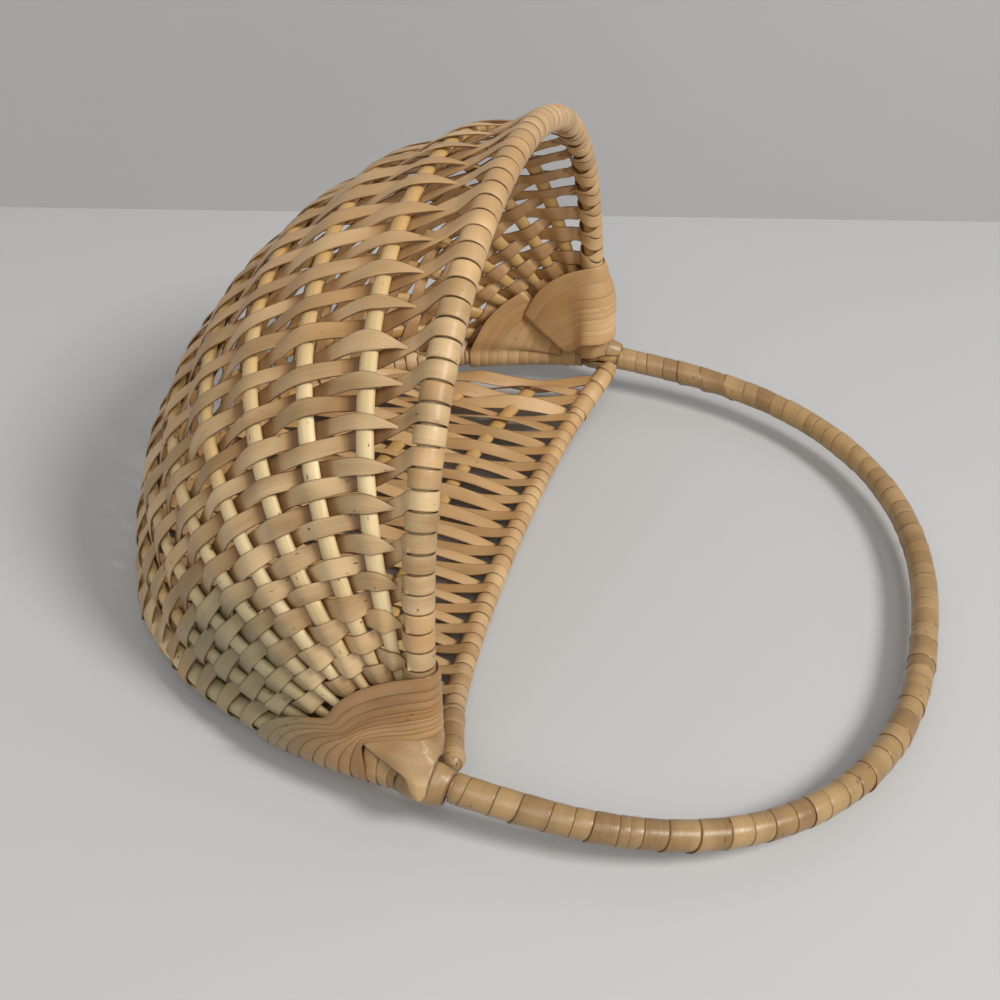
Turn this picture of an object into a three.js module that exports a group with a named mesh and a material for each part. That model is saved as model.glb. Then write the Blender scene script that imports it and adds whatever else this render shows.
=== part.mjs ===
// Hanging wall basket of split rods and flat strips, lying on the back that goes against the wall.
// Millimetres: +X runs to one ear, +Y to the top of the handle, +Z out of the wall.
import * as THREE from 'three';

// Hanging hoop: one rod, its upper half the handle and its lower half the bottom of the body
const hoopHalfWidth = 114;
const hoopWaist = 29.4;
const handleReach = 127.6;
const bottomReach = 115.8;
const hoopRodDiameter = 5.8;

// Heights of the rods' centrelines above the wall, before the finished part is set down on it
const earLift = 19.4;
const handleLift = 12.4;
const backLift = 6.6;

// Front rim and back bar, which close the mouth between the ears
const rimStand = 143.2;
const rimLean = 12.8;
const rimRodDiameter = 5.8;
const barBow = 4.8;
const barEndReach = 7.5;
const barRodDiameter = 4.6;

// Ribs from ear to ear, thinner where their ends are lashed
const bellyRibCount = 7;
const backRibCount = 3;
const ribDiameter = 4.4;
const ribTipDiameter = 2;
const ribTipReach = 20.5;
const backRibTipReach = 75;
const ribFullReach = 72;

// Weavers: each strip goes up to the front rim, round it and back down as the next row
const weaverCount = 30;
const shortWeavers = 5;
const stripWidth = 6;
const stripThickness = 0.9;
const rowGap = 0.8;
const weaveStartAtRim = 25;
const weaveStartAtHoop = 39;

// Lashed ears
const earStripCount = 4;
const earStripStart = 10.5;
const bindingStart = 8;
const bindingEnd = 5;

// Handle wrap, wound from each ear to a splice at the top
const wrapTurns = 30;
const wrapGap = 0.6;
const wrapStart = 6;

const clearance = 0.3;
const ribClearance = 0.4;
const insideClearance = 0.9;

// Shape of the curves: exponents of the rounded outlines, and how the belly draws in between rim and hoop
const hoopRoundX = 0.853;
const hoopRoundY = 0.88;
const rimRoundReach = 3.16;
const rimRoundWidth = 0.5;
const barSpread = 1.78;
const bellyDrawIn = 0.042;
const barEndRise = 4;
const barEndTurn = 4;

// How far strips go round the rods, in degrees
const hoopLead = 30;
const rimWrap = 120;
const barWrap = 120;
const barTail = 100;
const earTail = 100;
const bindingWrap = 100;

// Facets
const rodSides = 6;
const ribSides = 5;
const hoopSteps = 80;
const rimSteps = 34;
const barSteps = 24;
const bellyRibSteps = 24;
const backRibSteps = 16;
const rodWrapSteps = 5;
const hoopTurnSteps = 3;
const turnSteps = 6;
const bindingSteps = 4;
const lengthSamples = 800;
const searchSteps = 40;
const slopeStep = 1e-3;
const leastCrestShare = 0.1;

const strawColour = 0xc09a66;
const satinColour = 0xc8a468;
const ribColour = 0xe3cd9b;

const hoopRadius = hoopRodDiameter / 2;
const rimRadius = rimRodDiameter / 2;
const barRadius = barRodDiameter / 2;
const degrees = THREE.MathUtils.degToRad;
const lerp = THREE.MathUtils.lerp;
const signedPower = (value, exponent) => Math.sign(value) * Math.abs(value) ** exponent;

// Half width of the hoop where it lies this far below the ear line
function hoopHalfWidthAt(reach) {
  const share = Math.min(1, (reach + hoopWaist) / (bottomReach + hoopWaist));
  return hoopHalfWidth * (1 - share ** (2 / hoopRoundY)) ** (hoopRoundX / 2);
}

const rimHalfWidth = hoopHalfWidthAt(0) - hoopRadius - rimRadius - clearance;
const rimReach = Math.hypot(rimLean, rimStand - earLift);
const rimAngle = Math.atan2(rimLean, rimStand - earLift);
const hoopReach = Math.hypot(bottomReach, earLift - backLift);
const hoopAngle = Math.PI / 2 + Math.atan2(earLift - backLift, bottomReach);
const hollowMiddle = new THREE.Vector3(0, -bottomReach / 3, rimStand / 3);

// Belly surface: k runs from the rim, 0, to the hoop, 1, and s from one ear, 0, to the other, pi
function belly(k, s) {
  const side = Math.sign(Math.cos(s));
  const reach = Math.sin(s);
  const rimX = rimHalfWidth * Math.max(0, 1 - reach ** rimRoundReach) ** rimRoundWidth;
  const x = side * lerp(rimX, hoopHalfWidthAt(bottomReach * reach), k);
  const draw = 1 - bellyDrawIn * Math.sin(Math.PI * k);
  const radius = lerp(rimReach, hoopReach, k) * reach * draw;
  const angle = lerp(rimAngle, hoopAngle, k);
  return new THREE.Vector3(x, -radius * Math.sin(angle), earLift + radius * Math.cos(angle));
}

// Bar from one ear, share 1, to the other, share -1, with ends that pass the rim's feet on the handle's side
function barAt(share) {
  const y = barEndReach * share ** barEndTurn - barBow * (1 - share ** 2);
  return new THREE.Vector3(rimHalfWidth * share, y, lerp(earLift, backLift, 1 - share ** barEndRise));
}

// Place on the bar of the rows that leave the hoop at s
function barPoint(s) {
  return barAt(THREE.MathUtils.clamp(barSpread * (1 - 2 * s / Math.PI), -1, 1));
}

// Back surface: w runs from the hoop, 0, to the bar, 1
function back(w, s) {
  return belly(1, s).lerp(barPoint(s), w);
}

// Point and directions on a surface: down it from its first edge, along it from ear to ear, and out of it
function frameOn(surface, k, s) {
  const step = slopeStep;
  const down = surface(k + step, s).sub(surface(k - step, s)).divideScalar(2 * step);
  const along = surface(k, s + step).sub(surface(k, s - step)).divideScalar(2 * step);
  const out = down.clone().cross(along).normalize();
  const at = surface(k, s);
  if (out.dot(at.clone().sub(hollowMiddle)) < 0) out.negate();
  const square = down.clone().projectOnPlane(along);
  return {
    at,
    out,
    along: along.clone().normalize(),
    alongSpeed: along.length(),
    down: square.clone().normalize(),
    downSpeed: square.length(),
  };
}

function ribRadiusAt(s) {
  const reach = bottomReach * Math.sin(s);
  const share = THREE.MathUtils.clamp((reach - ribTipReach) / (ribFullReach - ribTipReach), 0, 1);
  return lerp(ribTipDiameter, ribDiameter, share) / 2;
}

// Closed solid from points and triangles, turned so that its faces point out
function solid(points, triangles) {
  let volume = 0;
  for (const [a, b, c] of triangles) {
    volume += points[a].dot(points[b].clone().cross(points[c]));
  }
  const facing = volume > 0 ? triangles : triangles.map(([a, b, c]) => [a, c, b]);
  const geometry = new THREE.BufferGeometry().setFromPoints(points);
  geometry.setIndex(facing.flat());
  geometry.computeVertexNormals();
  return geometry;
}

// Curved slab between a grid of outer points and a grid of inner points
function slab(outer, inner) {
  const rows = outer.length;
  const columns = outer[0].length;
  const points = [...outer.flat(), ...inner.flat()];
  const top = (i, j) => i * columns + j;
  const bottom = (i, j) => rows * columns + i * columns + j;
  const triangles = [];
  const quad = (a, b, c, d) => triangles.push([a, b, c], [a, c, d]);
  for (let i = 0; i < rows - 1; i += 1) {
    for (let j = 0; j < columns - 1; j += 1) {
      quad(top(i, j), top(i + 1, j), top(i + 1, j + 1), top(i, j + 1));
      quad(bottom(i, j), bottom(i, j + 1), bottom(i + 1, j + 1), bottom(i + 1, j));
    }
    quad(top(i, 0), bottom(i, 0), bottom(i + 1, 0), top(i + 1, 0));
    quad(top(i, columns - 1), top(i + 1, columns - 1), bottom(i + 1, columns - 1), bottom(i, columns - 1));
  }
  for (let j = 0; j < columns - 1; j += 1) {
    quad(top(0, j), top(0, j + 1), bottom(0, j + 1), bottom(0, j));
    quad(top(rows - 1, j), bottom(rows - 1, j), bottom(rows - 1, j + 1), top(rows - 1, j + 1));
  }
  return solid(points, triangles);
}

// Flat strip through stations, each with its middle, half width across and outward direction
function strip(stations) {
  let facing = 1;
  const turned = stations.map((station, i) => {
    if (i > 0 && station.out.dot(stations[i - 1].out) < 0) facing = -facing;
    return { ...station, face: station.out.clone().multiplyScalar(facing * stripThickness / 2) };
  });
  const edge = (station, side, level) => station.at.clone()
    .addScaledVector(station.across, side)
    .addScaledVector(station.face, level);
  const face = (level) => turned.map((station) => [edge(station, -1, level), edge(station, 1, level)]);
  return slab(face(1), face(-1));
}

// Rod through rings of points, closed at both ends
function ringRod(rings) {
  const sides = rings[0].length;
  const triangles = [];
  for (let i = 0; i < rings.length - 1; i += 1) {
    for (let j = 0; j < sides; j += 1) {
      const a = i * sides + j;
      const b = i * sides + (j + 1) % sides;
      triangles.push([a, b, b + sides], [a, b + sides, a + sides]);
    }
  }
  const last = (rings.length - 1) * sides;
  for (let j = 1; j < sides - 1; j += 1) {
    triangles.push([0, j + 1, j], [last, last + j, last + j + 1]);
  }
  return solid(rings.flat(), triangles);
}

class RodCurve extends THREE.Curve {
  constructor(pointAt) {
    super();
    this.pointAt = pointAt;
    this.arcLengthDivisions = lengthSamples;
  }

  getPoint(u, target = new THREE.Vector3()) {
    return target.copy(this.pointAt(u));
  }
}

function bentRod(curve, radius, steps) {
  const corners = [];
  for (let i = 0; i < rodSides; i += 1) {
    const angle = (i / rodSides) * 2 * Math.PI;
    corners.push(new THREE.Vector2(radius * Math.cos(angle), radius * Math.sin(angle)));
  }
  return new THREE.ExtrudeGeometry(new THREE.Shape(corners), { steps, extrudePath: curve });
}

// Hoop from the middle of the bottom, up one side, over the handle and down the other side
function hoopPoint(turn) {
  const angle = 2 * Math.PI * turn - Math.PI / 2;
  const x = hoopHalfWidth * signedPower(Math.cos(angle), hoopRoundX);
  const rise = signedPower(Math.sin(angle), hoopRoundY);
  const y = hoopWaist + rise * (rise > 0 ? handleReach - hoopWaist : bottomReach + hoopWaist);
  const z = y > 0 ? lerp(earLift, handleLift, y / handleReach) : lerp(earLift, backLift, -y / bottomReach);
  return new THREE.Vector3(x, y, z);
}

const hoopCurve = new RodCurve(hoopPoint);
const hoopLength = hoopCurve.getLength();
const hoopButt = clearance / hoopLength;
const openHoop = new RodCurve((u) => hoopCurve.getPointAt(lerp(hoopButt, 1 - hoopButt, u)));

// Place on the hoop, as a length from the middle of the bottom, where it passes this height past the ear line
function hoopLengthAt(y) {
  let low = 0;
  let high = hoopLength / 2;
  for (let i = 0; i < searchSteps; i += 1) {
    const middle = (low + high) / 2;
    if (hoopCurve.getPointAt(middle / hoopLength).y < y) low = middle;
    else high = middle;
  }
  return (low + high) / 2;
}

// Point around the hoop: a length along it, an angle from outward towards the front, and a radius
function aroundHoop(length, angle, radius) {
  const u = length / hoopLength;
  const tangent = hoopCurve.getTangentAt(u);
  const front = new THREE.Vector3(0, 0, 1).projectOnPlane(tangent).normalize();
  const outward = tangent.clone().cross(front);
  return hoopCurve.getPointAt(u)
    .addScaledVector(outward, radius * Math.cos(angle))
    .addScaledVector(front, radius * Math.sin(angle));
}

function ribRod(surface, k, tipReach, steps) {
  const tip = Math.asin(tipReach / bottomReach);
  const rings = [];
  for (let i = 0; i <= steps; i += 1) {
    const s = lerp(tip, Math.PI - tip, i / steps);
    const frame = frameOn(surface, k, s);
    const radius = ribRadiusAt(s);
    const ring = [];
    for (let j = 0; j < ribSides; j += 1) {
      const angle = (j / ribSides) * 2 * Math.PI;
      ring.push(frame.at.clone()
        .addScaledVector(frame.out, radius * Math.cos(angle))
        .addScaledVector(frame.down, radius * Math.sin(angle)));
    }
    rings.push(ring);
  }
  return ringRod(rings);
}

// Height of a strip's middle over a rib, so that its slope to the next rib clears both
function crestOver(radius, spacing) {
  const need = radius + ribClearance + stripThickness / 2;
  return need / Math.sqrt(Math.max(leastCrestShare, 1 - (2 * need / spacing) ** 2));
}

// Where the weave starts, as a place from ear to ear, between the rim, 0, and the hoop, 1
function weaveStart(k) {
  return Math.asin(lerp(weaveStartAtRim, weaveStartAtHoop, k) / bottomReach);
}

// Lane of a strip between two shares of the weave: its place and half width at k, both from ear to ear
function weaveLane(start, end, widest) {
  return (k) => {
    const span = Math.PI - 2 * weaveStart(k);
    return {
      s: weaveStart(k) + span * (start + end) / 2,
      half: span * (end - start) / 2,
      widest,
    };
  };
}

// Lane of a strip between an ear and the start of the weave
function earLane(index, mirrored) {
  return (k) => {
    const first = Math.asin(earStripStart / bottomReach);
    const span = weaveStart(k) - first;
    const s = first + span * (index + 0.5) / earStripCount;
    return {
      s: mirrored ? Math.PI - s : s,
      half: span / earStripCount / 2,
      widest: weaveStartAtHoop,
    };
  };
}

function halfWidthIn(place, frame) {
  return Math.min(place.widest, 2 * place.half * frame.alongSpeed - rowGap) / 2;
}

function stationOn(frame, place, height) {
  return {
    at: frame.at.clone().addScaledVector(frame.out, height),
    across: frame.along.clone().multiplyScalar(halfWidthIn(place, frame)),
    out: frame.out,
  };
}

function crestStation(surface, count, index, place, side) {
  const frame = frameOn(surface, index / (count + 1), place.s);
  const height = crestOver(ribRadiusAt(place.s), frame.downSpeed / (count + 1));
  return stationOn(frame, place, side * height);
}

// Radius of the middle of a strip folded round a rod in steps of this angle
function wrapRadius(rodRadius, stepAngle) {
  return (rodRadius + clearance) / Math.cos(stepAngle / 2) + stripThickness / 2;
}

// Strip round an edge rod through a place at each step: 0 degrees is past the edge, 90 out of the basket
// and -90 into it
function edgeWrap(surface, k, rodRadius, placeAt, startAngle, endAngle, away) {
  const stepAngle = degrees(Math.abs(endAngle - startAngle)) / rodWrapSteps;
  const radius = wrapRadius(rodRadius, stepAngle);
  const stations = [];
  for (let i = 0; i <= rodWrapSteps; i += 1) {
    const place = placeAt(i);
    const frame = frameOn(surface, k, place.s);
    const angle = degrees(lerp(startAngle, endAngle, i / rodWrapSteps));
    const out = frame.down.clone().multiplyScalar(away * Math.cos(angle))
      .addScaledVector(frame.out, Math.sin(angle));
    stations.push(stationOn({ ...frame, out }, place, radius));
  }
  return stations;
}

const overRim = (placeAt, start, end) => edgeWrap(belly, 0, rimRadius, placeAt, start, end, -1);
const overBar = (place, start, end) => edgeWrap(back, 1, barRadius, () => place, start, end, 1);

// Stations where a strip turns the corner at the hoop, outside it or inside it, from the back to the belly
function hoopTurn(place, side) {
  const front = frameOn(belly, 1, place.s);
  const rear = frameOn(back, 0, place.s);
  const corner = front.out.clone().add(rear.out).normalize();
  if (side < 0) {
    const inside = hoopRadius + insideClearance + stripThickness / 2;
    return [stationOn({ ...front, out: corner }, place, -inside)];
  }
  const toFront = front.out.clone().projectOnPlane(corner).normalize();
  const reach = front.out.angleTo(corner) + degrees(hoopLead);
  const radius = wrapRadius(hoopRadius, (2 * reach) / hoopTurnSteps);
  const stations = [];
  for (let i = 0; i <= hoopTurnSteps; i += 1) {
    const angle = lerp(-reach, reach, i / hoopTurnSteps);
    const out = corner.clone().multiplyScalar(Math.cos(angle)).addScaledVector(toFront, Math.sin(angle));
    stations.push(stationOn({ ...front, out }, place, radius));
  }
  return stations;
}

// One row from the back bar, or from the hoop, up to the first rib below the front rim
function row(lane, side, reachesBar) {
  const stations = [];
  const atHoop = lane(1);
  let turn = (bellyRibCount + backRibCount) % 2 === 0 ? side : -side;
  if (reachesBar) {
    stations.push(...overBar(atHoop, -turn * barTail, turn * barWrap));
    for (let i = backRibCount; i > 0; i -= 1) {
      turn = -turn;
      stations.push(crestStation(back, backRibCount, i, atHoop, turn));
    }
    turn = -turn;
  } else {
    turn = bellyRibCount % 2 === 0 ? -side : side;
  }
  stations.push(...hoopTurn(atHoop, turn));
  for (let i = bellyRibCount; i > 0; i -= 1) {
    turn = -turn;
    const place = lane(i / (bellyRibCount + 1));
    stations.push(crestStation(belly, bellyRibCount, i, place, turn));
  }
  return stations;
}

// Weaver: a row up to the rim, a band round the rim as wide as both rows, and the next row down
function weaver(index) {
  const low = index / weaverCount;
  const middle = (index + 0.5) / weaverCount;
  const high = (index + 1) / weaverCount;
  const upward = weaveLane(low, middle, stripWidth);
  const downward = weaveLane(middle, high, stripWidth);
  const band = weaveLane(low, high, 2 * stripWidth);
  const onRim = (i) => (i === 0 ? upward(0) : i === rodWrapSteps ? downward(0) : band(0));
  const reachesBar = index >= shortWeavers && index < weaverCount - shortWeavers;
  return strip([
    ...row(upward, 1, reachesBar),
    ...overRim(onRim, rimWrap, -rimWrap),
    ...row(downward, -1, reachesBar).reverse(),
  ]);
}

// Broad strip laid over the rib ends at an ear, from inside the rim to behind the hoop
function earStrip(index, mirrored) {
  const lane = earLane(index, mirrored);
  const stations = overRim(() => lane(0), -earTail, 90);
  for (let i = 1; i <= bellyRibCount; i += 1) {
    const place = lane(i / (bellyRibCount + 1));
    const frame = frameOn(belly, i / (bellyRibCount + 1), place.s);
    stations.push(stationOn(frame, place, ribRadiusAt(place.s) + clearance + stripThickness / 2));
  }
  stations.push(...hoopTurn(lane(1), 1).reverse());
  return strip(stations);
}

// Binding round the outside of the hoop where the rim's foot stands against it
function earBinding(mirrored) {
  const from = hoopLengthAt(-bindingStart);
  const to = hoopLengthAt(bindingEnd);
  const radius = (hoopRadius + clearance) / Math.cos(Math.PI / rodSides);
  const grid = (level) => {
    const rows = [];
    for (let i = 0; i <= rodSides; i += 1) {
      const angle = degrees(lerp(-bindingWrap, bindingWrap, i / rodSides));
      const line = [];
      for (let j = 0; j <= bindingSteps; j += 1) {
        const point = aroundHoop(lerp(from, to, j / bindingSteps), angle, radius + level);
        if (mirrored) point.x = -point.x;
        line.push(point);
      }
      rows.push(line);
    }
    return rows;
  };
  return slab(grid(stripThickness), grid(0));
}

// Wrap of one half of the handle: an unbroken strip wound from the ear to the splice at the top,
// turned by half a facet so that a flat faces the hook
function handleWrap(mirrored) {
  const from = hoopLengthAt(wrapStart);
  const to = hoopLength / 2 - wrapGap / 2;
  const pitch = (to - from) / (wrapTurns + 1);
  const width = pitch - wrapGap;
  const stepAngle = (2 * Math.PI) / turnSteps;
  const radius = (hoopRadius + clearance) / Math.cos(stepAngle / 2);
  const steps = wrapTurns * turnSteps;
  const grid = (level) => {
    const rows = [];
    for (let i = 0; i <= steps; i += 1) {
      const start = from + (pitch * i) / turnSteps;
      const edges = [start, start + width];
      rows.push(edges.map((length) => {
        const point = aroundHoop(length, (i + 0.5) * stepAngle, radius + level);
        if (mirrored) point.x = -point.x;
        return point;
      }));
    }
    return rows;
  };
  const inner = grid(0);
  let gap = Infinity;
  for (let i = 0; i + turnSteps <= steps; i += 1) {
    gap = Math.min(gap, inner[i][1].distanceTo(inner[i + turnSteps][0]));
  }
  console.log(`handle wrap: least gap between turns ${gap.toFixed(2)} mm`);
  return slab(grid(stripThickness), inner);
}

const basket = new THREE.Group();

function add(name, geometry, colour, roughness) {
  const material = new THREE.MeshStandardMaterial({ color: colour, roughness, metalness: 0 });
  const mesh = new THREE.Mesh(geometry, material);
  mesh.name = name;
  basket.add(mesh);
}

const satin = 0.45;
const matte = 0.7;

add('hanging_hoop', bentRod(openHoop, hoopRadius, hoopSteps), ribColour, matte);
const rimCurve = new RodCurve((u) => belly(0, Math.PI * u));
add('front_rim', bentRod(rimCurve, rimRadius, rimSteps), ribColour, matte);

const barCurve = new RodCurve((u) => barAt(lerp(1, -1, u)));
add('back_bar', bentRod(barCurve, barRadius, barSteps), ribColour, matte);

for (let i = 1; i <= bellyRibCount; i += 1) {
  add(`belly_rib_${i}`, ribRod(belly, i / (bellyRibCount + 1), ribTipReach, bellyRibSteps), ribColour, matte);
}
for (let i = 1; i <= backRibCount; i += 1) {
  add(`back_rib_${i}`, ribRod(back, i / (backRibCount + 1), backRibTipReach, backRibSteps), ribColour, matte);
}
for (let i = 0; i < weaverCount; i += 1) {
  add(`weaver_${String(i + 1).padStart(2, '0')}`, weaver(i), strawColour, matte);
}
for (const [side, mirrored] of [['right', false], ['left', true]]) {
  for (let i = 0; i < earStripCount; i += 1) {
    add(`ear_strip_${side}_${i + 1}`, earStrip(i, mirrored), strawColour, matte);
  }
  add(`ear_binding_${side}`, earBinding(mirrored), satinColour, satin);
  add(`handle_wrap_${side}`, handleWrap(mirrored), satinColour, satin);
}

// Set the part down on the wall plane with its origin under the middle of its box
basket.updateMatrixWorld(true);
const box = new THREE.Box3().setFromObject(basket, true);
const middle = box.getCenter(new THREE.Vector3());
basket.position.set(-middle.x, -middle.y, -box.min.z);

export default basket;
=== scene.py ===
"""Looks of the hanging wall basket: round rods, woven flat strips, wrapped rim and handle, lashed ears.

Shapes are worked out in millimetres in the part's drawing frame: +X to one ear, +Y to the top of the
handle, +Z out of the wall. place() then sets them down in metres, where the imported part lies.
"""
import math

import bpy
import numpy as np
from mathutils import Matrix, Vector


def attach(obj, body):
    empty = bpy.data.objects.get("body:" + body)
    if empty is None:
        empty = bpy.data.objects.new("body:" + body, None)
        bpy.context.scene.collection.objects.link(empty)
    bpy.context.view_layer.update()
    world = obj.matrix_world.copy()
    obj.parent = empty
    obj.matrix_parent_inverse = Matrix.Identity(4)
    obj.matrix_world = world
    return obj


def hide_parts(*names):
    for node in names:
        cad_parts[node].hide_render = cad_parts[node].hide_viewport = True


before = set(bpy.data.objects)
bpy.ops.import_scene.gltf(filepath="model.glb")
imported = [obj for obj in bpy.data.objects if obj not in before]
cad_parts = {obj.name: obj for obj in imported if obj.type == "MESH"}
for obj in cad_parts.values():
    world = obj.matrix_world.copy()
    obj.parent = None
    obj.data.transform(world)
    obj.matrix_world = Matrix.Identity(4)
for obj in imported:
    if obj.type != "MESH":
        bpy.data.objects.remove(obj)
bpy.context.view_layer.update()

# The part's own sizes, as in its source
HOOP_HALF_WIDTH = 114.0
HOOP_WAIST = 29.4
HANDLE_REACH = 127.6
BOTTOM_REACH = 115.8
EAR_LIFT = 19.4
HANDLE_LIFT = 12.4
BACK_LIFT = 6.6
RIM_STAND = 143.2
RIM_LEAN = 12.8
BAR_BOW = 4.8
BAR_END_REACH = 7.5
ROD_RADIUS = 2.9
BAR_RADIUS = 2.3
RIBS = 7
BACK_RIBS = 3
RIB_TIP_RADIUS = 1.0
RIB_TIP_REACH = 20.5
BACK_RIB_TIP_REACH = 84.0
WEAVERS = 30
SHORT_WEAVERS = 5
WEAVE_START_AT_RIM = 25.0
WEAVE_START_AT_HOOP = 39.0
EAR_STRIPS = 4
WRAP_START = 9.0
HOOP_ROUND_X = 0.853
HOOP_ROUND_Y = 0.88
RIM_ROUND_REACH = 3.16
RIM_ROUND_WIDTH = 0.5
BAR_SPREAD = 1.78
BAR_END_RISE = 4
BAR_END_TURN = 4
BELLY_DRAW_IN = 0.042
CLEARANCE = 0.3
SET_DOWN = np.array((0.0, -5.8446, -2.4181))

# Strips, ribs and wraps as they look; LIE is the room between a strip and the rod that it lies on
STRIP_THICKNESS = 0.6
LIE = 0.12
RIB_RADIUS = 2.5
RIB_FULL_REACH = 44.0
RIB_FLAT = 0.6
WEAVE_START_BEND = 2.2
WRAP_RADIUS = 3.8
HOOP_TAIL_RADIUS = WRAP_RADIUS - 0.2
BAR_WRAP_RADIUS = 2.95

SIDE_NAMES = {1: "right", -1: "left"}
MM = 0.001
SEED = 11

rng = np.random.default_rng(SEED)


def unit(vectors):
    return vectors / np.linalg.norm(vectors, axis=-1, keepdims=True)


def lerp(a, b, share):
    return a + (b - a) * share


def ease(share):
    share = np.clip(share, 0.0, 1.0)
    return share * share * (3 - 2 * share)


def dot(a, b):
    return np.sum(a * b, axis=-1, keepdims=True)


def lengths_along(line):
    steps = np.linalg.norm(np.diff(line, axis=0), axis=-1)
    return np.concatenate(([0.0], np.cumsum(steps)))


def place(points):
    return (np.asarray(points) + SET_DOWN) * MM


# A place this far short of the count of draws still has a draw after it
LAST_STEP = 1.001


def between(draws, steps):
    """Values at steps along draws that are one step apart, eased from each to the next."""
    low = np.floor(steps).astype(int)
    share = ease(steps - low).reshape(-1, *(1,) * (draws.ndim - 1))
    return lerp(draws[low], draws[low + 1], share)


def drift(count, size):
    """Slow seeded wander along a strip, with one draw for each rib or turn."""
    draws = rng.normal(0.0, size, count)
    return lambda q: between(draws, np.clip(q, 0, count - LAST_STEP))


# Surfaces


def hoop_half_width_at(reach):
    share = np.clip((reach + HOOP_WAIST) / (BOTTOM_REACH + HOOP_WAIST), 0.0, 1.0)
    return HOOP_HALF_WIDTH * (1 - share ** (2 / HOOP_ROUND_Y)) ** (HOOP_ROUND_X / 2)


RIM_HALF_WIDTH = float(hoop_half_width_at(0.0)) - 2 * ROD_RADIUS - CLEARANCE
RIM_REACH = math.hypot(RIM_LEAN, RIM_STAND - EAR_LIFT)
RIM_ANGLE = math.atan2(RIM_LEAN, RIM_STAND - EAR_LIFT)
HOOP_REACH = math.hypot(BOTTOM_REACH, EAR_LIFT - BACK_LIFT)
HOOP_ANGLE = math.pi / 2 + math.atan2(EAR_LIFT - BACK_LIFT, BOTTOM_REACH)
HOLLOW = np.array((0.0, -BOTTOM_REACH / 3, RIM_STAND / 3))


def belly(k, s):
    """Front of the basket: k from the rim, 0, to the hoop, 1, and s from one ear, 0, to the other, pi."""
    k, s = np.broadcast_arrays(np.asarray(k, float), np.asarray(s, float))
    reach = np.sin(s)
    rim_x = RIM_HALF_WIDTH * np.maximum(0.0, 1 - np.abs(reach) ** RIM_ROUND_REACH) ** RIM_ROUND_WIDTH
    x = np.sign(np.cos(s)) * lerp(rim_x, hoop_half_width_at(BOTTOM_REACH * reach), k)
    draw = 1 - BELLY_DRAW_IN * np.sin(math.pi * k)
    radius = lerp(RIM_REACH, HOOP_REACH, k) * reach * draw
    angle = lerp(RIM_ANGLE, HOOP_ANGLE, k)
    return np.stack((x, -radius * np.sin(angle), EAR_LIFT + radius * np.cos(angle)), -1)


def bar_at(share):
    """Back bar, from the -X ear, -1, to the +X ear, 1."""
    share = np.asarray(share, float)
    z = lerp(EAR_LIFT, BACK_LIFT, 1 - share ** BAR_END_RISE)
    y = BAR_END_REACH * share ** BAR_END_TURN - BAR_BOW * (1 - share ** 2)
    return np.stack((RIM_HALF_WIDTH * share, y, z), -1)


def back(w, s):
    """Back of the basket: w from the hoop, 0, to the bar, 1."""
    w, s = np.broadcast_arrays(np.asarray(w, float), np.asarray(s, float))
    bar = bar_at(np.clip(BAR_SPREAD * (1 - 2 * s / math.pi), -1.0, 1.0))
    return lerp(belly(1.0, s), bar, w[..., None])


class Spot:
    """Places on a surface with their directions: out of the basket, along it to the far ear, and down it."""

    STEP = 1e-3

    def __init__(self, surface, k, s):
        step = self.STEP
        self.at = surface(k, s)
        down = (surface(k + step, s) - surface(k - step, s)) / (2 * step)
        along = (surface(k, s + step) - surface(k, s - step)) / (2 * step)
        out = unit(np.cross(down, along))
        self.out = out * np.sign(dot(out, self.at - HOLLOW))
        self.along_speed = np.linalg.norm(along, axis=-1)
        self.along = unit(along)
        self.down = unit(down - dot(down, self.along) * self.along)


def s_at(reach):
    """Place near the +X ear, as an s, where the hoop reaches this far down from the ears."""
    return np.arcsin(np.asarray(reach) / BOTTOM_REACH)


def rib_radius_at(s):
    reach = BOTTOM_REACH * np.sin(s)
    share = np.clip((reach - RIB_TIP_REACH) / (RIB_FULL_REACH - RIB_TIP_REACH), 0.0, 1.0)
    return lerp(RIB_TIP_RADIUS, RIB_RADIUS, share)


def lane(count, k):
    """Place from ear to ear of a row count, at k between the rim and the hoop."""
    bend = np.abs(k) ** WEAVE_START_BEND
    start = s_at(lerp(WEAVE_START_AT_RIM, WEAVE_START_AT_HOOP, bend))
    return lerp(start, math.pi - start, count / WEAVERS)


def half_row(k, speed):
    """Half of a row's room at k, where the surface goes at this speed from ear to ear."""
    return (lane(0.5, k) - lane(0.0, k)) / 2 * speed


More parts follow.
